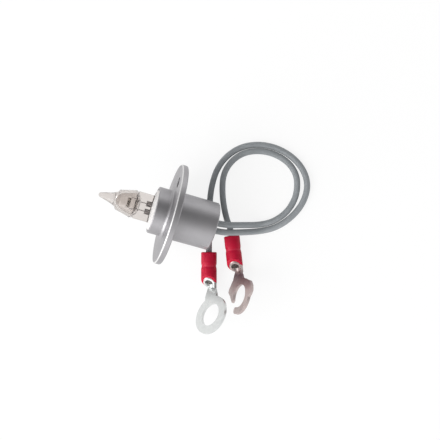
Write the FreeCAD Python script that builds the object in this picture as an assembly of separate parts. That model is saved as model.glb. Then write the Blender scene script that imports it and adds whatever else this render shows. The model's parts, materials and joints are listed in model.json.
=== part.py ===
import FreeCAD, Part
import math
import os

# Chemistry analyzer lamp: quartz capsule in a flanged metal holder, two leads with crimp terminals
# Millimetres, +Z up, +X towards the leads, the lamp lies on its flange rim and on one lead

V = FreeCAD.Vector

# Housing, measured along its own axis from the flange's front face
flange_d = 28.0
flange_t = 1.7
barrel_d = 13.4
barrel_len = 11.5
collar_d = 13.0
collar_len = 4.0
collar_fillet = 0.9
front_bore_d = 11.8
cavity_d = 11.0
shelf_x = 4.0
edge_break = 0.2
rear_edge_break = 0.3
locating_hole_d = 3.0
locating_hole_y = 8.79
locating_hole_z = 4.98

# Cement and potting
cement_recess = 0.2
potting_recess = 0.7
potting_len = 2.0

# Quartz bulb, distances ahead of the flange's front face
tip_x = 19.1
tip_end_r = 0.7
tip_neck_r = 1.45
tip_neck_x = 15.7
tip_base_x = 14.15
tip_base_r = 2.3
body_front_r = 2.8
body_rear_r = 3.85
pinch_start_x = 9.15
pinch_w = 7.55
pinch_t = 3.0
pinch_web_t = 2.2
pinch_rib_w = 1.3
pinch_embed = 1.0
wall = 0.75

# Filament and current path
filament_x = 10.8
filament_len = 2.64
filament_r = 0.52
filament_wire_d = 0.2
filament_turns = 8
leg_d = 0.3
pair_spacing = 2.16
foil_w = 1.5
foil_len = 1.57
foil_t = 0.08
foil_x = 5.4
pin_d = 0.9
pin_end_x = 8.0
splice_d = 1.9
splice_x = 6.2
splice_len = 3.4

# Leads and terminals
lead_d = 1.75
rest_gap = 0.05
sleeve_d = 4.5
sleeve_len = 10.5
sleeve_rim_r = 0.35
sleeve_entry_len = 3.4
sleeve_entry_gap = 0.15
crimp_dent_r = 7.0
crimp_dent = 0.32
crimp_barrel_d = 3.2
crimp_barrel_wall = 0.5
mouth_slant = 40.0
tongue_t = 0.8
tongue_w = 2.95
neck_w = 4.2
stud_hole_d = 6.5
ring_d = 11.1
hook_d = 10.3
hook_end = 50.0
hook_start = -8.0

# Rest attitude: the barrel's rear edge lies on the lead that passes beneath it
flange_r = flange_d / 2.0
barrel_r = barrel_d / 2.0
rear_x = flange_t + barrel_len
lift = lead_d + rest_gap
rise = flange_r - barrel_r
run = rear_x - flange_t
tilt = math.degrees(math.acos(lift / math.hypot(rise, run)) - math.atan2(run, rise))
tilt_rad = math.radians(tilt)
axis_z = flange_t * math.sin(tilt_rad) + flange_r * math.cos(tilt_rad)
front_most = -tip_x * math.cos(tilt_rad)
rear_most = rear_x * math.cos(tilt_rad) + (barrel_r - rear_edge_break) * math.sin(tilt_rad)
axis_x = -(front_most + rear_most) / 2.0


def lay(shape):
    s = shape.copy()
    s.rotate(V(0, 0, 0), V(0, 1, 0), tilt)
    s.translate(V(axis_x, 0, axis_z))
    return s


def lamp_point(x, y, z):
    c = math.cos(tilt_rad)
    s = math.sin(tilt_rad)
    return V(axis_x + x * c + z * s, y, axis_z - x * s + z * c)


def rod(x0, x1, d, y=0.0, z=0.0):
    return Part.makeCylinder(d / 2.0, x1 - x0, V(x0, y, z), V(1, 0, 0))


def prism(points, z0, t):
    area = 0.0
    for i in range(len(points)):
        x0, y0 = points[i - 1]
        x1, y1 = points[i]
        area += x0 * y1 - x1 * y0
    if area < 0:
        points = list(reversed(points))
    verts = [V(x, y, z0) for x, y in points]
    return Part.Face(Part.makePolygon(verts + [verts[0]])).extrude(V(0, 0, t))


def box(x0, x1, y0, y1, z0, z1):
    return Part.makeBox(x1 - x0, y1 - y0, z1 - z0, V(x0, y0, z0))


# Housing, one turned piece
collar_r = collar_d / 2.0
front_bore_r = front_bore_d / 2.0
cavity_r = cavity_d / 2.0
e = edge_break
re = rear_edge_break


def edge(p, q):
    return Part.LineSegment(V(p[0], 0, p[1]), V(q[0], 0, q[1])).toShape()


def arc(p, m, q):
    return Part.Arc(V(p[0], 0, p[1]), V(m[0], 0, m[1]), V(q[0], 0, q[1])).toShape()


def blown(p, m, q):
    bow = Part.Arc(V(p[0], 0, p[1]), V(m[0], 0, m[1]), V(q[0], 0, q[1]))
    return bow.toBSpline().toShape()


q = collar_fillet * (1.0 - math.sqrt(0.5))
p1 = (-collar_len, front_bore_r)
p2 = (-collar_len, collar_r - e)
p3 = (-collar_len + e, collar_r)
p4 = (-collar_fillet, collar_r)
p4m = (-q, collar_r + q)
p5 = (0.0, collar_r + collar_fillet)
p6 = (0.0, flange_r - e)
p7 = (e, flange_r)
p8 = (flange_t - e, flange_r)
p9 = (flange_t, flange_r - e)
p10 = (flange_t, barrel_r)
p11 = (rear_x - re, barrel_r)
p12 = (rear_x, barrel_r - re)
p13 = (rear_x, cavity_r)
p14 = (shelf_x, cavity_r)
p15 = (shelf_x, front_bore_r)
profile_edges = [edge(p1, p2), edge(p2, p3), edge(p3, p4), arc(p4, p4m, p5), edge(p5, p6)]
profile_edges += [edge(p6, p7), edge(p7, p8), edge(p8, p9), edge(p9, p10), edge(p10, p11)]
profile_edges += [edge(p11, p12), edge(p12, p13), edge(p13, p14), edge(p14, p15), edge(p15, p1)]
housing = Part.Face(Part.Wire(profile_edges)).revolve(V(0, 0, 0), V(1, 0, 0), 360)
hole = rod(-1.0, flange_t + 1.0, locating_hole_d, locating_hole_y, locating_hole_z)
housing = housing.cut(hole)

# Current path: coil, legs, foils and pins
half_pair = pair_spacing / 2.0
foil_front = -(foil_x + foil_len / 2.0)
foil_rear = -(foil_x - foil_len / 2.0)
turn_steps = 10
coil_pts = []
for i in range(filament_turns * turn_steps + 1):
    ang = 2.0 * math.pi * i / turn_steps
    along = filament_len * (i / (filament_turns * turn_steps) - 0.5)
    coil_pts.append(V(-filament_x + filament_r * math.cos(ang), along, filament_r * math.sin(ang)))
heading = FreeCAD.Rotation(V(0, 0, 1), (coil_pts[1] - coil_pts[0]).normalize())
wire_pts = []
for k in range(9):
    ang = 2.0 * math.pi * k / 8
    off = V(math.cos(ang), math.sin(ang), 0) * (filament_wire_d / 2.0)
    wire_pts.append(coil_pts[0] + heading.multVec(off))
sweep = Part.BRepOffsetAPI.MakePipeShell(Part.makePolygon(coil_pts))
sweep.setFrenetMode(False)
sweep.setTransitionMode(1)
sweep.add(Part.makePolygon(wire_pts))
sweep.build()
sweep.makeSolid()
coil = sweep.shape()
legs = {}
foils = {}
pins = {}
splices = {}
for side, sign in (("left", 1.0), ("right", -1.0)):
    a = V(-filament_x + filament_r, sign * (filament_len / 2.0 + (leg_d + filament_wire_d) / 2.0), 0)
    b = V(-pinch_start_x + 0.9, sign * half_pair, 0)
    c = V(foil_front, sign * half_pair, 0)
    front = Part.makeSphere(leg_d / 2.0, a)
    first = Part.makeCylinder(leg_d / 2.0, (b - a).Length, a, b - a)
    joint = Part.makeSphere(leg_d / 2.0, b)
    second = Part.makeCylinder(leg_d / 2.0, (c - b).Length, b, c - b)
    legs[side] = front.fuse([first, joint, second]).removeSplitter()
    y0 = sign * half_pair - foil_w / 2.0
    foils[side] = box(foil_front, foil_rear, y0, y0 + foil_w, -foil_t / 2.0, foil_t / 2.0)
    pins[side] = rod(foil_rear, pin_end_x, pin_d, sign * half_pair)
    tube = rod(splice_x, splice_x + splice_len, splice_d, sign * half_pair)
    splices[side] = tube.cut(rod(splice_x - 1.0, pin_end_x, pin_d, sign * half_pair))

# Quartz bulb
tip_ball = blown((-tip_x, 0.0), (-tip_x + 0.2, tip_end_r * 0.7), (-tip_x + 0.7, tip_end_r))
nose = Part.BSplineCurve()
nose_pts = [(-tip_x + 0.7, tip_end_r), (-(tip_x - 0.7 + tip_neck_x) / 2.0, (tip_end_r + tip_neck_r) / 2.0)]
nose_pts += [(-tip_neck_x, tip_neck_r), (-tip_base_x - 0.55, (tip_neck_r + tip_base_r) / 2.0)]
nose_pts.append((-tip_base_x, tip_base_r))
nose.interpolate([V(x, 0, r) for x, r in nose_pts])
shoulder_x = -tip_base_x + 0.45
step_mid = (-tip_base_x + 0.12, body_front_r - 0.16)
shoulder = blown((-tip_base_x, tip_base_r), step_mid, (shoulder_x, body_front_r))
body_end = -pinch_start_x - 0.5
flank = edge((shoulder_x, body_front_r), (body_end, body_rear_r))
last = (body_end + 1.8, body_rear_r - 2.2)
close = blown((body_end, body_rear_r), (body_end + 1.15, body_rear_r - 0.7), last)
rear_face = edge(last, (last[0], 0.0))
axis_line = edge((last[0], 0.0), (-tip_x, 0.0))
outline = Part.Wire([tip_ball, nose.toShape(), shoulder, flank, close, rear_face, axis_line])
envelope = Part.Face(outline).revolve(V(0, 0, 0), V(1, 0, 0), 360)
hw = pinch_w / 2.0
ht = pinch_t / 2.0
pinch = box(-pinch_start_x + 0.3, pinch_embed, -hw, hw, -ht, ht)
long_edges = []
for ed in pinch.Edges:
    d = ed.Vertexes[0].Point.sub(ed.Vertexes[1].Point)
    if abs(d.x) > 1.0:
        long_edges.append(ed)
pinch = pinch.makeFillet(0.7, long_edges)
web = (pinch_t - pinch_web_t) / 2.0
rib_in = hw - pinch_rib_w
for sign in (1.0, -1.0):
    z0 = sign * (ht - web / 2.0) - web / 2.0
    trough = box(-pinch_start_x + 1.6, pinch_embed + 1.0, -rib_in, rib_in, z0, z0 + web)
    pinch = pinch.cut(trough)
envelope = envelope.fuse(pinch)
cav_front = (-tip_base_x - 0.35, 0.0)
cav_turn = (-tip_base_x + 1.0, body_front_r - wall)
cav_nose = blown(cav_front, (-tip_base_x + 0.1, cav_turn[1] * 0.62), cav_turn)
cav_end = (-pinch_start_x - 0.3, body_rear_r - wall)
cav_back = (cav_end[0] + 0.75, 0.0)
cav_flank = edge(cav_turn, cav_end)
cav_close = blown(cav_end, (cav_end[0] + 0.55, cav_end[1] * 0.7), cav_back)
cav_axis = edge(cav_back, cav_front)
cavity = Part.Face(Part.Wire([cav_nose, cav_flank, cav_close, cav_axis]))
cavity = cavity.revolve(V(0, 0, 0), V(1, 0, 0), 360)
envelope = envelope.cut(cavity)
pinch_block = envelope.copy()
for side in ("left", "right"):
    envelope = envelope.cut(legs[side]).cut(foils[side]).cut(pins[side])

# Cement round the pinch, potting round the leads
cement = rod(-collar_len + cement_recess, shelf_x, front_bore_d)
cement = cement.cut(pinch_block)
potting = rod(rear_x - potting_recess - potting_len, rear_x - potting_recess, cavity_d)
for side, sign in (("left", 1.0), ("right", -1.0)):
    cement = cement.cut(pins[side])
    potting = potting.cut(rod(0.0, rear_x + 2.0, lead_d, sign * half_pair))


# Leads
def cord(points, d, name):
    parts = []
    radii = []
    prev = points[0]
    for i in range(1, len(points) - 1):
        p = points[i]
        u = (p - points[i - 1]).normalize()
        w = (points[i + 1] - p).normalize()
        turn = math.acos(max(-1.0, min(1.0, u.dot(w))))
        shorter = min((p - points[i - 1]).Length, (points[i + 1] - p).Length)
        cut = 0.45 * shorter
        radii.append(cut / math.tan(turn / 2.0))
        a = p - u * cut
        b = p + w * cut
        bis = (w - u).normalize()
        r = radii[-1]
        centre_d = math.hypot(r, cut)
        m = p + bis * (centre_d - r)
        parts.append(Part.LineSegment(prev, a).toShape())
        parts.append(Part.Arc(a, m, b).toShape())
        prev = b
    parts.append(Part.LineSegment(prev, points[-1]).toShape())
    path = Part.Wire(parts)
    start = (points[1] - points[0]).normalize()
    ring = Part.Wire(Part.makeCircle(d / 2.0, points[0], start).Edges)
    tube = path.makePipeShell([ring], True, False)
    ratio = tube.Volume / (math.pi * d * d / 4.0 * path.Length)
    print(name, "length", round(path.Length, 2), "radii", [round(r, 1) for r in radii])
    print(name, "volume ratio", round(ratio, 4), "valid", tube.isValid())
    return tube


ground = lead_d / 2.0
sleeve_r = sleeve_d / 2.0
lead_start_x = splice_x + splice_len
exit_x = rear_x + 2.4

ring_axis = V(0.284, -0.959, 0.0).normalize()
ring_entry = V(12.97, -7.40, sleeve_r)
fork_axis = V(0.390, -0.921, 0.0).normalize()
fork_entry = V(18.06, -1.14, sleeve_r)

ring_route = [lamp_point(lead_start_x, -half_pair, 0), lamp_point(exit_x, -half_pair, 0)]
ring_route += [V(20.0, 0.3, 4.75), V(25.2, 2.3, ground), V(29.4, 4.6, ground), V(32.8, 8.5, ground)]
ring_route += [V(34.9, 13.3, ground), V(34.9, 18.5, ground), V(32.3, 22.6, ground), V(28.0, 25.4, ground)]
ring_route += [V(22.6, 26.7, ground), V(17.4, 26.2, ground), V(12.8, 24.1, ground), V(9.5, 20.3, ground)]
ring_route += [V(8.0, 16.0, ground), V(7.9, 11.3, ground), V(8.7, 6.5, ground), V(10.0, 1.9, ground)]
ring_route += [V(11.2, -2.4, ground), ring_entry - ring_axis * 2.1, ring_entry + ring_axis * sleeve_entry_len]

fork_route = [lamp_point(lead_start_x, half_pair, 0), lamp_point(exit_x, half_pair, 0)]
fork_route += [V(20.3, 2.6, 4.5), V(25.2, 4.6, ground), V(29.4, 7.4, ground), V(32.2, 11.6, ground)]
fork_route += [V(32.2, 16.2, ground), V(30.3, 20.4, ground), V(26.8, 23.35, ground), V(22.3, 24.75, ground)]
fork_route += [V(17.5, 24.3, ground), V(13.4, 22.2, ground), V(11.0, 18.8, ground), V(10.3, 14.6, ground)]
fork_route += [V(11.5, 10.2, ground), V(13.2, 6.2, ground), V(15.2, 2.7, ground)]
fork_route += [fork_entry - fork_axis * 1.9, fork_entry + fork_axis * sleeve_entry_len]

lead_ring = cord(ring_route, lead_d, "lead_ring")
lead_fork = cord(fork_route, lead_d, "lead_fork")


# Terminals, built along +X in their own frame and then placed
def place(shape, origin, x_dir, y_dir, z_dir):
    m = FreeCAD.Matrix()
    m.A11, m.A21, m.A31 = x_dir.x, x_dir.y, x_dir.z
    m.A12, m.A22, m.A32 = y_dir.x, y_dir.y, y_dir.z
    m.A13, m.A23, m.A33 = z_dir.x, z_dir.y, z_dir.z
    m.A14, m.A24, m.A34 = origin.x, origin.y, origin.z
    s = shape.copy()
    s.transformShape(m)
    return s


def rolled(axis, roll):
    r = math.radians(roll)
    up = V(0, 0, 1)
    right = axis.cross(up) * -1.0
    w = right * math.cos(r) + up * math.sin(r)
    n = w.cross(axis) * -1.0
    if n.z < 0:
        n = n * -1.0
    return w, n


barrel_or = crimp_barrel_d / 2.0
barrel_ir = barrel_or - crimp_barrel_wall
mouth_rise = math.tan(math.radians(mouth_slant))
mouth_x = sleeve_len - sleeve_r * mouth_rise
barrel_end = mouth_x + barrel_or * mouth_rise + 0.3


def slanted(shape, x):
    cutter = box(0.0, 9.0, -5.0, 5.0, -9.0, 9.0)
    cutter.rotate(V(0, 0, 0), V(0, 1, 0), -mouth_slant)
    cutter.translate(V(x, 0, 0))
    return shape.cut(cutter)


def sleeve_shape(roll):
    s = slanted(rod(0, sleeve_len + 1.0, sleeve_d), mouth_x)
    ends = [ed for ed in s.Edges if ed.Curve.TypeId in ("Part::GeomCircle", "Part::GeomEllipse")]
    s = s.makeFillet(sleeve_rim_r, ends)
    for sign in (1.0, -1.0):
        tool = Part.makeCylinder(crimp_dent_r, 8.0, V(sleeve_len * 0.46, -4.0, 0), V(0, 1, 0))
        tool.translate(V(0, 0, sign * (sleeve_r + crimp_dent_r - crimp_dent)))
        tool.rotate(V(0, 0, 0), V(1, 0, 0), roll)
        s = s.cut(tool)
    s = s.cut(rod(-1, sleeve_entry_len, lead_d + 2.0 * sleeve_entry_gap))
    return s.cut(rod(sleeve_entry_len, sleeve_len + 1, crimp_barrel_d))


def barrel_shape():
    b = rod(sleeve_entry_len, sleeve_len + 2.0, crimp_barrel_d)
    return slanted(b, mouth_x + 0.3).cut(rod(0, sleeve_len + 3.0, 2.0 * barrel_ir))


def section_wire(centre, along, across, thick, w, t):
    a = across * (w / 2.0)
    b = thick * (t / 2.0)
    pts = [centre + a + b, centre - a + b, centre - a - b, centre + a - b]
    return Part.makePolygon(pts + [pts[0]])


def ring_plate():
    disc = Part.makeCylinder(ring_d / 2.0, tongue_t, V(0, 0, -tongue_t / 2.0), V(0, 0, 1))
    return disc


def hook_plate():
    ro = hook_d / 2.0
    ri = stud_hole_d / 2.0
    t = tongue_t
    disc = Part.makeCylinder(ro, t, V(0, 0, -t / 2.0), V(0, 0, 1))
    end = math.radians(hook_end)
    far = 12.0
    open_side = [(0.0, 0.0), (far * math.sin(end), -far * math.cos(end)), (far, -far)]
    open_side += [(0.0, -far * 1.5), (-far, -far), (-far, 0.0)]
    disc = disc.cut(prism(open_side, -2.0, 4.0))
    rc = (ro + ri) / 2.0
    rr = (ro - ri) / 2.0
    centre = V(rc * math.sin(end), -rc * math.cos(end), -t / 2.0)
    disc = disc.fuse(Part.makeCylinder(rr, t, centre, V(0, 0, 1)))
    start = math.radians(hook_start)
    spur = [(ri * math.sin(start) * 1.6, -ri * math.cos(start) * 0.9)]
    spur.append((-ri * 0.05, -ri * 1.22))
    left = [(-2.8, -4.55), (-4.3, -5.15), (-5.0, -4.7), (-6.5, -neck_w * 0.56)]
    right = [(-6.2, neck_w * 0.54), (-4.2, neck_w * 0.62), (-3.0, 3.4), (-2.4, 4.8), (-1.3, 5.9)]
    right += [(0.4, 6.3), (1.9, 6.0), (2.7, 5.0), (3.2, 3.6), (0.0, 0.0)]
    return disc.fuse(prism(spur + left + right, -t / 2.0, t))


def terminal(entry, axis, roll, plate, centre, normal, reach, root, name):
    w1, n1 = rolled(axis, roll)
    up = V(0, 0, 1)
    along = reach - normal * reach.dot(normal)
    along.normalize()
    across = normal.cross(along)
    if across.dot(w1) < 0:
        across = across * -1.0
    side = normal.cross(along)
    barrel = place(barrel_shape(), entry, axis, up.cross(axis), up)
    s0 = entry + axis * (mouth_x - 1.6) - n1 * (barrel_or - tongue_t / 2.0)
    s1 = entry + axis * barrel_end - n1 * (barrel_or - tongue_t / 2.0)
    s2 = centre - along * root
    s3 = centre - along * (stud_hole_d / 2.0 + 0.9)
    rear = section_wire(s0, axis, w1, n1, tongue_w, tongue_t)
    bend = section_wire(s1, axis, w1, n1, tongue_w, tongue_t)
    neck = section_wire(s2, along, across, normal, neck_w, tongue_t)
    web_end = section_wire(s3, along, across, normal, neck_w, tongue_t)
    body = barrel
    for near, far in ((rear, bend), (bend, neck), (neck, web_end)):
        body = body.fuse(Part.makeLoft([near, far], True, True))
    flat = place(plate, centre, along, side, normal)
    body = body.fuse(flat)
    hole_cut = Part.makeCylinder(stud_hole_d / 2.0, 6.0, centre - normal * 3.0, normal)
    body = body.cut(hole_cut)
    wire_room = Part.makeCylinder(barrel_ir, barrel_end - 1.0, entry + axis * 1.0, axis)
    body = body.cut(wire_room)
    body = body.removeSplitter()
    lean = n1.getAngle(up)
    if n1.dot(up.cross(axis)) > 0:
        lean = -lean
    sleeve = place(sleeve_shape(math.degrees(lean)), entry, axis, up.cross(axis), up)
    sleeve = sleeve.cut(body)
    wire = Part.makeCylinder(barrel_ir, mouth_x - sleeve_entry_len - 0.3, entry + axis * sleeve_entry_len, axis)
    low = min(body.BoundBox.ZMin, sleeve.BoundBox.ZMin)
    print(name, "solids", len(body.Solids), len(sleeve.Solids), "lowest", round(low, 3))
    return body, sleeve, wire


ring_normal = V(-0.624, 0.243, 0.741).normalize()
ring_centre = ring_entry + ring_axis * sleeve_len + V(3.538502, -6.222196, 4.15)
ring_reach = V(0.342, -0.769, 0.540)
fork_normal = V(-0.793, 0.028, 0.606).normalize()
fork_centre = fork_entry + fork_axis * sleeve_len + V(3.625698, -5.531148, 3.45)
fork_reach = V(0.422, -0.692, 0.585)
ring_roll = 38.0
fork_roll = 44.0
ring_root = ring_d / 2.0 + 0.6
fork_root = hook_d / 2.0 + 1.45

ring_terminal, ring_sleeve, conductor_ring = terminal(
    ring_entry, ring_axis, ring_roll, ring_plate(), ring_centre, ring_normal, ring_reach, ring_root, "ring"
)
fork_terminal, fork_sleeve, conductor_fork = terminal(
    fork_entry, fork_axis, fork_roll, hook_plate(), fork_centre, fork_normal, fork_reach, fork_root, "fork"
)

pieces = {
    "flange_housing": lay(housing),
    "front_cement": lay(cement),
    "bulb_envelope": lay(envelope),
    "filament": lay(coil),
    "filament_leg_left": lay(legs["left"]),
    "filament_leg_right": lay(legs["right"]),
    "foil_left": lay(foils["left"]),
    "foil_right": lay(foils["right"]),
    "contact_pin_left": lay(pins["left"]),
    "contact_pin_right": lay(pins["right"]),
    "splice_left": lay(splices["left"]),
    "splice_right": lay(splices["right"]),
    "rear_potting": lay(potting),
    "lead_ring": lead_ring,
    "lead_fork": lead_fork,
    "conductor_ring": conductor_ring,
    "conductor_fork": conductor_fork,
    "ring_sleeve": ring_sleeve,
    "fork_sleeve": fork_sleeve,
    "ring_terminal": ring_terminal,
    "fork_terminal": fork_terminal,
}

os.makedirs("parts", exist_ok=True)
for name, shape in pieces.items():
    if len(shape.Solids) == 1:
        shape = shape.Solids[0]
    shape.exportStep("parts/" + name + ".step")
    bb = shape.BoundBox
    box_text = [round(v, 2) for v in (bb.XMin, bb.YMin, bb.ZMin, bb.XMax, bb.YMax, bb.ZMax)]
    print(name, "solids", len(shape.Solids), "valid", shape.isValid(), "volume", round(shape.Volume, 2), box_text)
print("tilt", round(tilt, 3), "axis x", round(axis_x, 3), "axis z", round(axis_z, 3))
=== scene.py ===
# %% [markdown]
# # A chemistry analyzer lamp
# A small quartz halogen capsule is cemented into a turned metal holder with a round flange.
# Two grey leads make a loose loop and end in red crimp terminals, one ring and one hook.
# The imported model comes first: every later piece is placed in its frame, in metres.

import json
import math

import bmesh
import bpy
from mathutils import Matrix, Vector, noise


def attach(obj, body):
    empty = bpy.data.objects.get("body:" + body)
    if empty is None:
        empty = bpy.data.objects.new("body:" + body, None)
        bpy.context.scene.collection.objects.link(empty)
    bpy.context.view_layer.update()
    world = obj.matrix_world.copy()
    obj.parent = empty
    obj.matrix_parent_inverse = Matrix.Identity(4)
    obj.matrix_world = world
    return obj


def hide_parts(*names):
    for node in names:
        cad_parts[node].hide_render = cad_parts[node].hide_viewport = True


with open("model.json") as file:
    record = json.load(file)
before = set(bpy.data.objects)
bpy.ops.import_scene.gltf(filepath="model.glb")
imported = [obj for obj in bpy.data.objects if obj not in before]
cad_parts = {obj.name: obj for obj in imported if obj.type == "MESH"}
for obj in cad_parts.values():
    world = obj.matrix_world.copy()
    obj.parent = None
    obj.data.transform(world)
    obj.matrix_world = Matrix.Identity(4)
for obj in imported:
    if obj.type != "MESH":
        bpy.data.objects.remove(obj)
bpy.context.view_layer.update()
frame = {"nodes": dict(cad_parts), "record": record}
nodes = frame["nodes"]
record = frame["record"]
scene = bpy.context.scene
mm = 0.001

# %% [markdown]
# The lamp lies on its flange rim and on the lead under its rear edge, so its axis leans.
# The record's flange seat gives that lean and the foot of the axis. Turning marks, the
# filament and the lead exits are all placed along this axis.

# %% The lamp's own axis
seat = next(m for m in record["mounts"] if m["name"] == "flange_seat")
lean = math.atan2(seat["axis"][2], -seat["axis"][0])
axis_foot = Vector((seat["pos_m"][0], 0.0, seat["pos_m"][2]))
lamp_to_world = Matrix.Translation(axis_foot) @ Matrix.Rotation(lean, 4, "Y")
lamp_front = Vector(seat["axis"])


def on_lamp(x, y, z):
    """A point given along the lamp's axis in millimetres, in the row frame."""
    return lamp_to_world @ (Vector((x, y, z)) * mm)


print("lean", round(math.degrees(lean), 2), "flange centre", [round(c, 4) for c in axis_foot])

# %% [markdown]
# The camera looks down on the bench from a hand's breadth above, leaning a little to the
# leads' side, and it is rolled so that the bulb points left and slightly up in the picture.

# %% Camera
picture_px = 440.0
focal_px = 620.0
camera_height = 180.0 * mm
camera_lean = math.radians(13.2)
camera_roll = math.radians(16.1)
target = Vector((12.95, 2.31, 0.0)) * mm
along = Vector((math.cos(camera_lean), 0.0, -math.sin(camera_lean)))
across = Vector((0.0, 1.0, 0.0))
back = Vector((math.sin(camera_lean), 0.0, math.cos(camera_lean)))
right = along * math.cos(camera_roll) + across * math.sin(camera_roll)
up = across * math.cos(camera_roll) - along * math.sin(camera_roll)
camera_data = bpy.data.cameras.new("bench_camera")
camera_data.sensor_width = 36.0
camera_data.lens = focal_px / picture_px * camera_data.sensor_width
camera_data.clip_start = 0.01
camera_data.clip_end = 10.0
camera = bpy.data.objects.new("bench_camera", camera_data)
scene.collection.objects.link(camera)
turn = Matrix((right, up, back)).transposed()
camera.matrix_world = Matrix.Translation(target + back * camera_height) @ turn.to_4x4()
scene.camera = camera
print("lens", round(camera_data.lens, 2), "mm")

# %% [markdown]
# Every material is built from nodes. One function turns a hex colour to linear light, and
# one adds a node with its settings and links. The others are built on these two, so that each
# recipe reads as a short list: a noise by its grain, a mix, a ramp, a product, a fine relief.

# %% Helpers for materials


def linear(hex_code):
    """An sRGB hex colour as linear red, green, blue and alpha."""
    parts = [int(hex_code[i : i + 2], 16) / 255.0 for i in (1, 3, 5)]
    flat = [c / 12.92 if c <= 0.04045 else ((c + 0.055) / 1.055) ** 2.4 for c in parts]
    return (*flat, 1.0)


def add(tree, kind, settings=None, **links):
    """Adds one node. A socket is linked to the named input, any other value is set on it.

    A name such as i6 stands for the input with that number.
    """
    node = tree.nodes.new(kind)
    for name, value in (settings or {}).items():
        setattr(node, name, value)
    for name, value in links.items():
        key = int(name[1:]) if name[0] == "i" and name[1:].isdigit() else name.replace("_", " ")
        if isinstance(value, bpy.types.NodeSocket):
            tree.links.new(value, node.inputs[key])
        else:
            node.inputs[key].default_value = value
    return node


def finish_of(name, **sockets):
    """A new material with one Principled shader whose sockets are set as given."""
    made = bpy.data.materials.new(name)
    made.use_nodes = True
    shader = made.node_tree.nodes["Principled BSDF"]
    for socket, value in sockets.items():
        shader.inputs[socket.replace("_", " ")].default_value = value
    return made, made.node_tree, shader


def noise_of(tree, place, grain_mm, detail, **more):
    """A noise with the given grain in millimetres, from 0 to 1."""
    return add(tree, "ShaderNodeTexNoise", Vector=place, Scale=1 / (grain_mm * mm),
               Detail=detail, **more).outputs["Fac"]


def mix_of(tree, share, first, second):
    """A colour between two, each a hex code or a socket, by a share from 0 to 1."""
    first, second = (linear(c) if isinstance(c, str) else c for c in (first, second))
    return add(tree, "ShaderNodeMix", {"data_type": "RGBA"}, i0=share, i6=first,
               i7=second).outputs[2]


def ramp_of(tree, value, start, end, low=0.0, high=1.0, kind="LINEAR"):
    """Maps a value's way from start to end onto low to high, and holds it beyond both."""
    return add(tree, "ShaderNodeMapRange", {"interpolation_type": kind}, Value=value,
               From_Min=start, From_Max=end, To_Min=low, To_Max=high).outputs["Result"]


def product_of(tree, first, second):
    """The product of two values, each a number or a socket."""
    return add(tree, "ShaderNodeMath", {"operation": "MULTIPLY"}, i0=first,
               i1=second).outputs["Value"]


def absolute_of(tree, value):
    """A value without its sign."""
    return add(tree, "ShaderNodeMath", {"operation": "ABSOLUTE"}, i0=value).outputs["Value"]


def relief_of(tree, shader, height, strength, depth_mm):
    """Gives the shader a fine relief from a height that runs from 0 to 1."""
    bump = add(tree, "ShaderNodeBump", Height=height, Strength=strength,
               Distance=depth_mm * mm)
    tree.links.new(bump.outputs["Normal"], shader.inputs["Normal"])


print("mid grey in linear light", round(linear("#808080")[0], 3))

# %% [markdown]
# The leads are silicone rubber, extruded over stranded copper: a satin grey skin that is
# slightly uneven. A 3 mm noise gives the drift in tone and a 0.3 mm one gives the skin.

# %% Silicone lead insulation
silicone, tree, shader = finish_of("extruded_grey_silicone", Roughness=0.6, Coat_Weight=0.1,
                                   Coat_Roughness=0.35)
spot = add(tree, "ShaderNodeTexCoord").outputs["Object"]
drift = noise_of(tree, spot, 3.0, 3.0)
skin = noise_of(tree, spot, 0.3, 2.0)
tree.links.new(mix_of(tree, drift, "#7F8487", "#999DA0"), shader.inputs["Base Color"])
relief_of(tree, shader, skin, 0.15, 0.05)
print("made", silicone.name)

# %% [markdown]
# A lead is one smooth line with a round section. A NURBS curve with a few given points
# gives the lazy loop of a limp cable, and its order is set after the points so that it holds.
# Sizes and points are in millimetres. On the bench a lead's middle is one radius up, and the
# fork's lead lies along the ring's, inside the loop, as the photograph shows.

# %% The two leads
lead_radius = 0.875
lead_width = 2 * lead_radius * mm
splice_end = 9.6
exit_offset = 1.08
straight_end = 15.6
sleeve_axis = 2.25
crimp_start = 3.4
ring_approach = 2.1
fork_approach = 1.9
ring_way = Vector((0.284, -0.959, 0.0)).normalized()
ring_entry = Vector((12.97, -7.40, sleeve_axis))
fork_way = Vector((0.390, -0.921, 0.0)).normalized()
fork_entry = Vector((18.06, -1.14, sleeve_axis))


def on_bench(*places):
    """Points of a lead where it lies on the bench."""
    return [Vector((x, y, lead_radius)) * mm for x, y in places]


ring_route = [on_lamp(splice_end, -exit_offset, 0), on_lamp(straight_end, -exit_offset, 0),
              Vector((20.0, 0.3, 4.75)) * mm]
ring_route += on_bench(
    (25.2, 2.3), (29.4, 4.6), (32.8, 8.5), (34.9, 13.3), (34.9, 18.5), (32.3, 22.6),
    (28.0, 25.4), (22.6, 26.7), (17.4, 26.2), (12.8, 24.1), (9.5, 20.3), (8.0, 16.0),
    (7.9, 11.3), (8.7, 6.5), (10.0, 1.9), (11.2, -2.4),
)
ring_route += [(ring_entry - ring_way * ring_approach) * mm,
               (ring_entry + ring_way * crimp_start) * mm]
fork_route = [on_lamp(splice_end, exit_offset, 0), on_lamp(straight_end, exit_offset, 0),
              Vector((20.3, 2.6, 4.5)) * mm]
fork_route += on_bench(
    (24.6, 4.05), (28.25, 6.05), (31.15, 9.55), (32.4, 13.8), (32.0, 17.65), (30.6, 20.95),
    (27.25, 23.65), (22.45, 24.87), (17.9, 24.42), (13.95, 22.58), (11.3, 19.2),
    (10.3, 15.0), (11.5, 10.2), (13.2, 6.2), (15.2, 2.7),
)
fork_route += [(fork_entry - fork_way * fork_approach) * mm,
               (fork_entry + fork_way * crimp_start) * mm]


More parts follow.
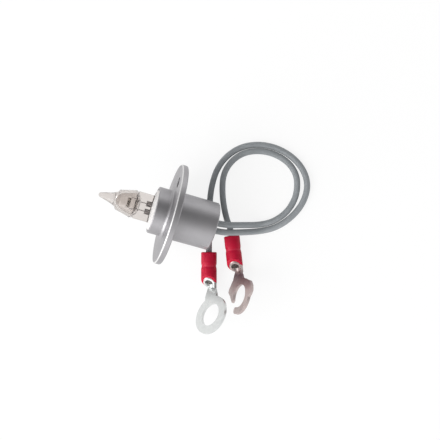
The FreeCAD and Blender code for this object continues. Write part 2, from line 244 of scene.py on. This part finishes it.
def lead_curve(name, route):
    """A round lead as a NURBS curve that follows the route's control points."""
    curve = bpy.data.curves.new(name, "CURVE")
    curve.dimensions = "3D"
    spline = curve.splines.new("NURBS")
    spline.points.add(len(route) - 1)
    for point, place in zip(spline.points, route):
        point.co = (*place, 1.0)
    spline.order_u = 3
    spline.use_endpoint_u = True
    spline.resolution_u = 12
    curve.bevel_depth = lead_width / 2
    curve.bevel_resolution = 8
    curve.use_fill_caps = True
    curve.materials.append(silicone)
    made = bpy.data.objects.new(name, curve)
    scene.collection.objects.link(made)
    print(name, "has", len(route), "points")
    return made


ring_lead = lead_curve("ring_lead", ring_route)
fork_lead = lead_curve("fork_lead", fork_route)

# %% [markdown]
# The holder is turned from aluminium and left satin. A lathe leaves rings on flat faces and
# lines round cylinders. Both come from one noise, read along the lamp's axis and away from it,
# and its 0.35 mm grain is coarser than a real feed mark so that the render can show it. A narrow
# band where the flange's front face meets its rim is painted brighter: a painted highlight.

# %% Turned metal
turned, tree, shader = finish_of("turned_satin_aluminium", Metallic=1.0, Roughness=0.5)
spot = add(tree, "ShaderNodeTexCoord").outputs["Object"]
own = add(tree, "ShaderNodeMapping", {"vector_type": "TEXTURE"}, Vector=spot,
          Location=axis_foot, Rotation=(0.0, lean, 0.0))
parts = add(tree, "ShaderNodeSeparateXYZ", Vector=own.outputs["Vector"])
flat = add(tree, "ShaderNodeCombineXYZ", Y=parts.outputs["Y"], Z=parts.outputs["Z"])
radius = add(tree, "ShaderNodeVectorMath", {"operation": "LENGTH"}, i0=flat.outputs["Vector"])
lathe = add(tree, "ShaderNodeCombineXYZ", X=parts.outputs["X"], Y=radius.outputs["Value"])
rings = noise_of(tree, lathe.outputs["Vector"], 0.35, 3.0)
haze = noise_of(tree, spot, 5.0, 4.0)
flange_radius = 14.0 * mm
band_in, band_in_full = 0.30 * mm, 0.18 * mm
band_back, band_back_full = 0.35 * mm, 0.25 * mm
finest, coarsest = 0.42, 0.54
# The mask of a painted highlight: a narrow band where the flange's front face meets its rim.
outward = ramp_of(tree, radius.outputs["Value"], flange_radius - band_in,
                  flange_radius - band_in_full)
ahead = ramp_of(tree, absolute_of(tree, parts.outputs["X"]), band_back, band_back_full)
satin = mix_of(tree, haze, "#9B9A9D", "#B0AEB0")
# Painted highlight: that band is mixed to a pale grey.
painted_edge_highlight = mix_of(tree, product_of(tree, outward, ahead), satin, "#DEDDDD")
tree.links.new(painted_edge_highlight, shader.inputs["Base Color"])
gloss = ramp_of(tree, rings, 0.0, 1.0, finest, coarsest)
tree.links.new(gloss, shader.inputs["Roughness"])
relief_of(tree, shader, rings, 0.2, 0.02)
print("made", turned.name)

# %% [markdown]
# Ceramic cement fills the collar: a chalky white, cast wet, with pinholes and a fine grain.
# The potting at the rear has the same finish.

# %% Cement and potting
cement, tree, shader = finish_of("cast_ceramic_cement", Roughness=0.88, Specular_IOR_Level=0.3)
spot = add(tree, "ShaderNodeTexCoord").outputs["Object"]
grain = noise_of(tree, spot, 0.5, 6.0, Roughness=0.7)
tree.links.new(mix_of(tree, grain, "#CCC9C8", "#E2E0DF"), shader.inputs["Base Color"])
relief_of(tree, shader, grain, 0.5, 0.12)
print("made", cement.name)

# %% [markdown]
# The bulb is fused quartz, drawn and pinched hot. Its real index is 1.458, but in a bulb this
# small in the picture that throws dark arcs across the rear of the cavity, so 1.25 is set. The
# colour is a pale warm grey that deepens where a wall is seen edge on.

# %% Quartz
quartz, tree, shader = finish_of("blown_fused_quartz", Roughness=0.1, IOR=1.25,
                                 Transmission_Weight=1.0, Coat_Weight=0.3, Coat_Roughness=0.08)
edge_on = add(tree, "ShaderNodeLayerWeight", Blend=0.35).outputs["Facing"]
tree.links.new(mix_of(tree, edge_on, "#DFD9D5", "#ADA7A3"), shader.inputs["Base Color"])
spot = add(tree, "ShaderNodeTexCoord").outputs["Object"]
relief_of(tree, shader, noise_of(tree, spot, 1.6, 1.0), 0.35, 0.1)
print("made", quartz.name)

# %% [markdown]
# Small metals: tungsten wire, molybdenum foil, tinned copper and two tin-plated terminals.
# The same recipe serves them all: a metal colour, its roughness and a fine uneven grain. The
# fork's tin is a darker, pinker copy of the ring's, a painted reflection. Both tongues are also
# painted darker along their necks, a painted dark reflection. That follows a length stored on the
# piece, in millimetres past the sleeve's crease, and leaves the crimp's mouth and the plate
# bright.

# %% Small metals
relief_depth = 0.05
mouth_start = 5.4
mouth_end = 7.2


def plated(name, dark, light, rough, grain_mm, strength):
    """A metal with two close tones and a fine relief, both from one noise."""
    made, tree, shader = finish_of(name, Metallic=1.0, Roughness=rough)
    spot = add(tree, "ShaderNodeTexCoord").outputs["Object"]
    patch = noise_of(tree, spot, grain_mm, 4.0)
    tree.links.new(mix_of(tree, patch, dark, light), shader.inputs["Base Color"])
    relief_of(tree, shader, patch, strength, relief_depth)
    print("made", name)
    return made


def paint_neck_reflection(material, colour, amount, start, end):
    """Paints a dark reflection on the neck from the mouth's end, fully up to start and fading out
    at end.
    """
    tree = material.node_tree
    shader = tree.nodes["Principled BSDF"]
    plate = shader.inputs["Base Color"].links[0].from_socket
    run = add(tree, "ShaderNodeAttribute", {"attribute_name": "from_crease"}).outputs["Fac"]
    share = ramp_of(tree, run, end, start, 0.0, amount)
    past_mouth = ramp_of(tree, run, mouth_start, mouth_end)
    neck = product_of(tree, share, past_mouth)
    tree.links.new(mix_of(tree, neck, plate, colour), shader.inputs["Base Color"])


tungsten = plated("drawn_tungsten", "#A6A29D", "#BFBBB6", 0.6, 0.3, 0.1)
molybdenum = plated("rolled_molybdenum", "#C4C3C6", "#DEDDE0", 0.45, 0.4, 0.1)
tinned = plated("tinned_copper_strand", "#4E4A49", "#77716D", 0.35, 0.4, 0.15)
bright_tin = plated("bright_tin_plate", "#D3D5D4", "#E6E8E7", 0.4, 0.9, 0.06)
# A darker, pinker copy of the tin plate for the fork: a painted reflection.
painted_reflection_tin = plated("painted_reflection_tin_plate", "#B3A3A2", "#D3C7C3", 0.42, 0.9, 0.08)
# A painted dark reflection on each tongue's neck.
paint_neck_reflection(bright_tin, "#9DA0A0", 0.8, 6.5, 10.0)
paint_neck_reflection(painted_reflection_tin, "#5C3E46", 0.95, 7.2, 11.5)

# %% [markdown]
# The terminal sleeves are moulded red vinyl, satin and a little translucent. The crimping
# tool presses a crease across the middle, and the colour is paler along it, following the same
# stored length.

# %% Red sleeve plastic
crease_width = 0.35
crease_paleness = 0.45
red_vinyl, tree, shader = finish_of(
    "moulded_red_vinyl", Roughness=0.48, Specular_IOR_Level=0.2, Subsurface_Weight=0.1,
    Subsurface_Radius=(1.0, 0.2, 0.2), Subsurface_Scale=0.5 * mm)
spot = add(tree, "ShaderNodeTexCoord").outputs["Object"]
cloud = noise_of(tree, spot, 1.5, 2.0)
moulded = mix_of(tree, cloud, "#AC0A2B", "#C21039")
run = add(tree, "ShaderNodeAttribute", {"attribute_name": "from_crease"}).outputs["Fac"]
crease = ramp_of(tree, absolute_of(tree, run), crease_width, 0.0, 0.0, crease_paleness)
tree.links.new(mix_of(tree, crease, moulded, "#D2405A"), shader.inputs["Base Color"])
relief_of(tree, shader, cloud, 0.15, 0.1)
print("made", red_vinyl.name)

# %% [markdown]
# The imported solids are loose triangles. A merged copy can be shaded smooth with crisp edges,
# which a turned or blown piece needs, so the holder, the potting and the bulb get such a copy in
# their place here, and other pieces get theirs further on.

# %% Smooth copies of the solids
weld_reach = 0.0005 * mm
crisp_angle = math.radians(32.0)


def merged_copy(node):
    """A welded copy of a CAD node's mesh, smooth but for its crisp edges."""
    mesh = nodes[node].data.copy()
    mesh.materials.clear()
    work = bmesh.new()
    work.from_mesh(mesh)
    bmesh.ops.remove_doubles(work, verts=work.verts, dist=weld_reach)
    for face in work.faces:
        face.smooth = True
    for edge in work.edges:
        edge.smooth = len(edge.link_faces) == 2 and edge.calc_face_angle(0.0) < crisp_angle
    work.to_mesh(mesh)
    work.free()
    return mesh


def place_piece(mesh, name, material, slot, *stands_for):
    """Puts a finished mesh on the body in place of the CAD nodes that it stands for."""
    mesh.name = name
    mesh.materials.append(material)
    made = bpy.data.objects.new(name, mesh)
    scene.collection.objects.link(made)
    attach(made, "root")
    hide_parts(*stands_for)
    return made


for node, name, material, slot in (
    ("flange_housing", "turned_holder", turned, "satin_metal"),
    ("rear_potting", "potting_fill", cement, "potting"),
    ("bulb_envelope", "quartz_bulb", quartz, "quartz"),
):
    place_piece(merged_copy(node), name, material, slot, node)
print("smooth copies made")

# %% [markdown]
# The cement's front was smoothed with a wet finger: it bulges round the pinch and meets the
# collar's rim level. The flat CAD face is divided finely, and its points are moved forward by
# the dome and by a slight grit. Sizes are in millimetres.

# %% The cement's domed front
ahead_enough = 0.95
plane_depth = 0.05
rounds = 4
longest_edge = 0.45
dome_radius = 5.9
dome_height = 0.9
dome_power = 5
grit_height = 0.05
grit_scale = 1.7
grit_fade = 8.0
cement_mesh = merged_copy("front_cement")
work = bmesh.new()
work.from_mesh(cement_mesh)
work.normal_update()
foremost = max(f.calc_center_median().dot(lamp_front) for f in work.faces)


def front_faces():
    """The cement's faces that look ahead from its foremost plane."""
    return [f for f in work.faces if f.normal.dot(lamp_front) > ahead_enough
            and f.calc_center_median().dot(lamp_front) > foremost - plane_depth * mm]


for _ in range(rounds):
    long_edges = {e for f in front_faces() for e in f.edges
                  if e.calc_length() > longest_edge * mm}
    bmesh.ops.subdivide_edges(work, edges=list(long_edges), cuts=1)
    bmesh.ops.triangulate(work, faces=[f for f in work.faces if len(f.verts) > 3])
    work.normal_update()
to_lamp = lamp_to_world.inverted()
for vert in {v for f in front_faces() for v in f.verts}:
    own_place = to_lamp @ vert.co / mm
    out = math.hypot(own_place.y, own_place.z) / dome_radius
    bulge = dome_height * max(0.0, 1.0 - out**dome_power)
    fade = min(1.0, max(0.0, 1.0 - out) * grit_fade)
    grit = grit_height * noise.noise(own_place * grit_scale) * fade
    vert.co += lamp_front * (bulge + grit) * mm
work.to_mesh(cement_mesh)
work.free()
place_piece(cement_mesh, "cement_fill", cement, "cement", "front_cement")
print("cement fill has", len(cement_mesh.polygons), "triangles")

# %% [markdown]
# What follows a rule is made by Geometry Nodes, such as a coil or a bundle of strands. Each
# tree has named inputs for its sizes, realizes its instances and ends in Set Material. It
# runs on an empty mesh, and what it makes is kept as a plain mesh.

# %% Geometry Nodes helpers
FLOAT, WHOLE, STUFF = "NodeSocketFloat", "NodeSocketInt", "NodeSocketMaterial"


def node_tree_with(name, inputs):
    """A geometry tree with named inputs, its group input's outputs and the identifiers."""
    tree = bpy.data.node_groups.new(name, "GeometryNodeTree")
    tree.interface.new_socket("Geometry", in_out="INPUT", socket_type="NodeSocketGeometry")
    names = {}
    for label, kind in inputs:
        made = tree.interface.new_socket(label, in_out="INPUT", socket_type=kind)
        names[label] = made.identifier
    tree.interface.new_socket("Geometry", in_out="OUTPUT", socket_type="NodeSocketGeometry")
    return tree, add(tree, "NodeGroupInput").outputs, names


def bake(name, tree, names, values, placing):
    """Runs a tree on an empty mesh, takes a plain mesh from it and puts that in its place."""
    holder = bpy.data.objects.new(name, bpy.data.meshes.new(name))
    scene.collection.objects.link(holder)
    modifier = holder.modifiers.new("made_by_nodes", "NODES")
    modifier.node_group = tree
    for label, value in values.items():
        modifier[names[label]] = value
    graph = bpy.context.evaluated_depsgraph_get()
    graph.update()
    mesh = bpy.data.meshes.new_from_object(holder.evaluated_get(graph))
    holder.modifiers.remove(modifier)
    bpy.data.objects.remove(holder)
    mesh.transform(placing)
    mesh.materials.clear()
    return mesh


print("input kinds", FLOAT, WHOLE, STUFF)

# %% [markdown]
# The filament is a spiral curve with a small circle as its section. It lies across the lamp's
# axis in the bulb, with its middle on the axis.

# %% The wound filament
coil_inputs = (("Turns", FLOAT), ("Coil Radius", FLOAT), ("Coil Length", FLOAT),
               ("Wire Radius", FLOAT), ("Metal", STUFF))
coil_tree, given, coil_names = node_tree_with("wound_filament", coil_inputs)
path = add(coil_tree, "GeometryNodeCurveSpiral", Resolution=28, Rotations=given["Turns"],
           Start_Radius=given["Coil Radius"], End_Radius=given["Coil Radius"],
           Height=given["Coil Length"])
wire = add(coil_tree, "GeometryNodeCurvePrimitiveCircle", Resolution=8,
           Radius=given["Wire Radius"])
wound = add(coil_tree, "GeometryNodeCurveToMesh", Curve=path.outputs["Curve"],
            Profile_Curve=wire.outputs["Curve"], Fill_Caps=True)
smooth = add(coil_tree, "GeometryNodeSetShadeSmooth", Geometry=wound.outputs["Mesh"])
whole = add(coil_tree, "GeometryNodeRealizeInstances", Geometry=smooth.outputs["Geometry"])
coated = add(coil_tree, "GeometryNodeSetMaterial", Geometry=whole.outputs["Geometry"],
             Material=given["Metal"])
add(coil_tree, "NodeGroupOutput", Geometry=coated.outputs["Geometry"])
filament_ahead = -10.8
filament_turns = 15.0
filament_length = 2.64
filament_radius = 0.4
wire_radius = 0.06
lying = Matrix.Rotation(math.radians(-90.0), 4, "X")
spot_on_axis = Matrix.Translation(Vector((filament_ahead, -filament_length / 2, 0)) * mm)
coil_mesh = bake("filament_coil", coil_tree, coil_names,
                 {"Turns": filament_turns, "Coil Radius": filament_radius * mm,
                  "Coil Length": filament_length * mm, "Wire Radius": wire_radius * mm,
                  "Metal": tungsten}, lamp_to_world @ spot_on_axis @ lying)
place_piece(coil_mesh, "filament_coil", tungsten, "tungsten", "filament")
print("filament coil has", len(coil_mesh.polygons), "faces")

# %% [markdown]
# A stripped lead shows its strands in the crimp's mouth. Nineteen strands lie in two rings
# round one, twisted together. Instances on ring points make the bundle, with the outer ring a
# little under two strand diameters out so that the strands stay close. A small random lean
# keeps them from looking alike, and a turn that grows along the length gives the twist. The
# outer end is cut to the slant of the mouth, a little below its rim.

# %% Twisted strands
strand_inputs = (("Strand Diameter", FLOAT), ("Length", FLOAT), ("Twist", FLOAT),
                 ("Looseness", FLOAT), ("Seed", WHOLE), ("Metal", STUFF))
strand_tree, given, strand_names = node_tree_with("twisted_strands", strand_inputs)
outer_reach = 1.95
strand_radius = product_of(strand_tree, given["Strand Diameter"], 0.5)
outer_radius = product_of(strand_tree, given["Strand Diameter"], outer_reach)
middle = add(strand_tree, "GeometryNodeMeshLine", Count=1)
inner = add(strand_tree, "GeometryNodeMeshCircle", Vertices=6, Radius=given["Strand Diameter"])
outer = add(strand_tree, "GeometryNodeMeshCircle", Vertices=12, Radius=outer_radius)
spots = add(strand_tree, "GeometryNodeJoinGeometry")
for source in (middle, inner, outer):
    strand_tree.links.new(source.outputs["Mesh"], spots.inputs["Geometry"])
strand = add(strand_tree, "GeometryNodeMeshCylinder", Vertices=10, Side_Segments=20,
             Radius=strand_radius, Depth=given["Length"])
each = add(strand_tree, "GeometryNodeInstanceOnPoints", Points=spots.outputs["Geometry"],
           Instance=strand.outputs["Mesh"])
draw = add(strand_tree, "FunctionNodeRandomValue", {"data_type": "FLOAT"}, i2=-1.0, i3=1.0,
           Seed=given["Seed"])
amount = product_of(strand_tree, draw.outputs[1], given["Looseness"])
tip_over = add(strand_tree, "ShaderNodeCombineXYZ", X=amount)
leant = add(strand_tree, "GeometryNodeRotateInstances", Instances=each.outputs["Instances"],
            Rotation=tip_over.outputs["Vector"])
whole = add(strand_tree, "GeometryNodeRealizeInstances", Geometry=leant.outputs["Instances"])
place = add(strand_tree, "GeometryNodeInputPosition")
height = add(strand_tree, "ShaderNodeSeparateXYZ", Vector=place.outputs["Position"])
angle = product_of(strand_tree, height.outputs["Z"], given["Twist"])
twisted = add(strand_tree, "ShaderNodeVectorRotate", {"rotation_type": "Z_AXIS"},
              Vector=place.outputs["Position"], Angle=angle)
moved = add(strand_tree, "GeometryNodeSetPosition", Geometry=whole.outputs["Geometry"],
            Position=twisted.outputs["Vector"])
coated = add(strand_tree, "GeometryNodeSetMaterial", Geometry=moved.outputs["Geometry"],
             Material=given["Metal"])
add(strand_tree, "NodeGroupOutput", Geometry=coated.outputs["Geometry"])

sleeve_length = 10.5
slant = math.radians(40.0)
mouth_centre = sleeve_length - sleeve_axis * math.tan(slant)
below_mouth = 0.15
strand_width = 0.41
strand_length = 6.4
twist = 0.12
looseness = 0.008


def strand_bundle(name, node, entry, way, seed):
    """A bundle of strands along a sleeve, cut to the mouth, for the plain conductor."""
    centre = (entry + way * (crimp_start + strand_length / 2)) * mm
    facing = way.to_track_quat("Z", "Y").to_matrix().to_4x4()
    mesh = bake(name, strand_tree, strand_names,
                {"Strand Diameter": strand_width * mm, "Length": strand_length * mm,
                 "Twist": twist / mm, "Looseness": looseness, "Seed": seed,
                 "Metal": tinned}, Matrix.Translation(centre) @ facing)
    out_of_mouth = way * math.cos(slant) + Vector((0, 0, math.sin(slant)))
    mouth = (entry + way * (mouth_centre - below_mouth)) * mm
    work = bmesh.new()
    work.from_mesh(mesh)
    every = work.verts[:] + work.edges[:] + work.faces[:]
    cut = bmesh.ops.bisect_plane(work, geom=every, plane_co=mouth, plane_no=out_of_mouth,
                                 clear_outer=True)
    rim = [e for e in cut["geom_cut"] if isinstance(e, bmesh.types.BMEdge)]
    bmesh.ops.holes_fill(work, edges=rim, sides=0)
    bmesh.ops.recalc_face_normals(work, faces=work.faces)
    work.to_mesh(mesh)
    work.free()
    print(name, "has", len(mesh.polygons), "faces")
    return place_piece(mesh, name, tinned, "tinned_copper", node)


ring_strands = strand_bundle("ring_strands", "conductor_ring", ring_entry, ring_way, 4)
fork_strands = strand_bundle("fork_strands", "conductor_fork", fork_entry, fork_way, 9)

# %% [markdown]
# The sleeves and tongues are copies of their solids. Both store how far each point is past the
# crimp's crease, which the red vinyl and the two tin finishes read. A sleeve is first divided
# across the crease, and its outer skin is pressed in there. Sizes are in millimetres.

# %% Sleeves and terminals
crease_share = 0.38
crease_at = crease_share * sleeve_length
crease_depth = 0.16
crease_reach = 0.55
bore_skin = 1.9
half_cuts = 4


def mark_run(mesh, entry, way):
    """Stores each point's run past the crease, and gives the mesh back."""
    store = mesh.attributes.new("from_crease", "FLOAT", "POINT")
    for vert in mesh.vertices:
        store.data[vert.index].value = (vert.co / mm - entry).dot(way) - crease_at
    return mesh


def creased_sleeve(name, node, entry, way):
    """A red sleeve whose outer skin is pressed in by the crimping tool."""
    mesh = merged_copy(node)
    work = bmesh.new()
    work.from_mesh(mesh)
    for step in range(-half_cuts, half_cuts + 1):
        cut = (entry + way * (crease_at + step * crease_reach / 2.0)) * mm
        every = work.verts[:] + work.edges[:] + work.faces[:]
        bmesh.ops.bisect_plane(work, geom=every, plane_co=cut, plane_no=way)
    for vert in work.verts:
        place = vert.co / mm - entry
        run = place.dot(way)
        off_axis = place - way * run
        if off_axis.length > bore_skin:
            press = crease_depth * math.exp(-(((run - crease_at) / crease_reach) ** 2))
            vert.co -= off_axis.normalized() * press * mm
    for face in work.faces:
        face.smooth = True
    work.to_mesh(mesh)
    work.free()
    return place_piece(mark_run(mesh, entry, way), name, red_vinyl, "red_insulator", node)


def tongue(name, node, entry, way, material, slot):
    """A terminal's metal, with its run stored for the painted dark reflection on its neck."""
    return place_piece(mark_run(merged_copy(node), entry, way), name, material, slot, node)


ring_red = creased_sleeve("ring_red_sleeve", "ring_sleeve", ring_entry, ring_way)
fork_red = creased_sleeve("fork_red_sleeve", "fork_sleeve", fork_entry, fork_way)
ring_tongue = tongue("ring_tongue", "ring_terminal", ring_entry, ring_way, bright_tin,
                     "bright_terminal")
# The fork's tongue takes the darker tin copy with its painted reflection.
fork_tongue = tongue("fork_tongue", "fork_terminal", fork_entry, fork_way, painted_reflection_tin,
                     "dull_terminal")
print("sleeves and terminals finished")

# %% [markdown]
# The small inner parts stay as packed and only get their metals.

# %% Inner parts
for kind, material in (("filament_leg", molybdenum), ("foil", molybdenum),
                       ("contact_pin", molybdenum), ("splice", tinned)):
    for side in ("left", "right"):
        finishes = nodes[f"{kind}_{side}"].data.materials
        finishes.clear()
        finishes.append(material)
print("inner parts finished")

# %% [markdown]
# Each lead is put on the body in place of its CAD node, and its real length is printed.

for lead, node, side, length, pieces in (
    (ring_lead, "lead_ring", -exit_offset, 0.100, [ring_tongue, ring_red, ring_strands]),
    (fork_lead, "lead_fork", exit_offset, 0.085, [fork_tongue, fork_red, fork_strands]),
):
    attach(lead, "root")
    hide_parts(node)
    print(lead.name, "is", length, "m long")

# %% [markdown]
# The bench is plain white. To the camera, to reflections and through glass it shows white,
# and a share of its own shading stays so that the lamp keeps a soft shadow.

# %% White bench
background_share = 0.85
bench_reach = 1.5
bench_white, tree, shader = finish_of("white_bench_laminate", Roughness=0.9)
shader.inputs["Base Color"].default_value = linear("#FAFAFA")
rays = add(tree, "ShaderNodeLightPath").outputs
straight = add(tree, "ShaderNodeMath", {"operation": "MAXIMUM"}, i0=rays["Is Camera Ray"],
               i1=rays["Is Transmission Ray"])
looked_at = add(tree, "ShaderNodeMath", {"operation": "MAXIMUM"}, i0=straight.outputs["Value"],
                i1=rays["Is Glossy Ray"])
share = product_of(tree, looked_at.outputs["Value"], background_share)
white = add(tree, "ShaderNodeEmission", Color=(1.0, 1.0, 1.0, 1.0), Strength=1.0)
both = add(tree, "ShaderNodeMixShader", i0=share, i1=shader.outputs["BSDF"],
           i2=white.outputs["Emission"])
tree.links.new(both.outputs["Shader"], tree.nodes["Material Output"].inputs["Surface"])
corners = [(x * bench_reach, y * bench_reach, 0) for x, y in ((-1, -1), (1, -1), (1, 1), (-1, 1))]
bench_mesh = bpy.data.meshes.new("bench")
bench_mesh.from_pydata(corners, [], [(0, 1, 2, 3)])
bench_mesh.materials.append(bench_white)
bench = bpy.data.objects.new("bench", bench_mesh)
scene.collection.objects.link(bench)
print("bench is", 2 * bench_reach, "m wide")

# %% [markdown]
# The world is white at the horizon for every kind of ray. Higher up it is dimmer overhead,
# most of all beyond the lamp, and brighter on the window's side. That gives the turned metal
# its light and dark sides. One large soft lamp stands for the window, and a weak one fills
# the far side.

# %% World and lights
far_overhead = (0.15, 0.55, 0.82)
window_way = (-0.45, -0.89, 0.0)
dimmest = 0.4
far_level, window_level = 0.42, 1.5
world = bpy.data.worlds.new("studio")
world.use_nodes = True
scene.world = world
tree = world.node_tree
sky = tree.nodes["Background"]
sky.inputs["Color"].default_value = (1.0, 1.0, 1.0, 1.0)
looking = add(tree, "ShaderNodeTexCoord").outputs["Generated"]
height = add(tree, "ShaderNodeSeparateXYZ", Vector=looking).outputs["Z"]
overhead, window_side = (
    add(tree, "ShaderNodeVectorMath", {"operation": "DOT_PRODUCT"}, i0=looking,
        i1=way).outputs["Value"] for way in (far_overhead, window_way))
dimmer = ramp_of(tree, overhead, 0.2, 0.95, 1.0, dimmest, "SMOOTHSTEP")
window = ramp_of(tree, window_side, -0.9, 0.9, far_level, window_level)
above = ramp_of(tree, height, 0.1, 0.3, kind="SMOOTHSTEP")
studio = add(tree, "ShaderNodeMix", {"data_type": "FLOAT"}, i0=above, i2=1.0,
             i3=product_of(tree, dimmer, window))
tree.links.new(studio.outputs[0], sky.inputs["Strength"])


def softbox(name, place, size, power):
    """A square lamp that looks at the target."""
    data = bpy.data.lights.new(name, "AREA")
    data.shape = "SQUARE"
    data.size = size
    data.energy = power
    lamp = bpy.data.objects.new(name, data)
    lamp.location = place
    lamp.rotation_mode = "QUATERNION"
    lamp.rotation_quaternion = (target - Vector(place)).to_track_quat("-Z", "Y")
    scene.collection.objects.link(lamp)


softbox("window_light", (-0.26, -0.36, 0.28), 0.50, 2.5)
softbox("far_side_light", (0.05, 0.46, 0.16), 0.30, 0.3)
scene.view_settings.view_transform = "Standard"
print("world and two lights set")
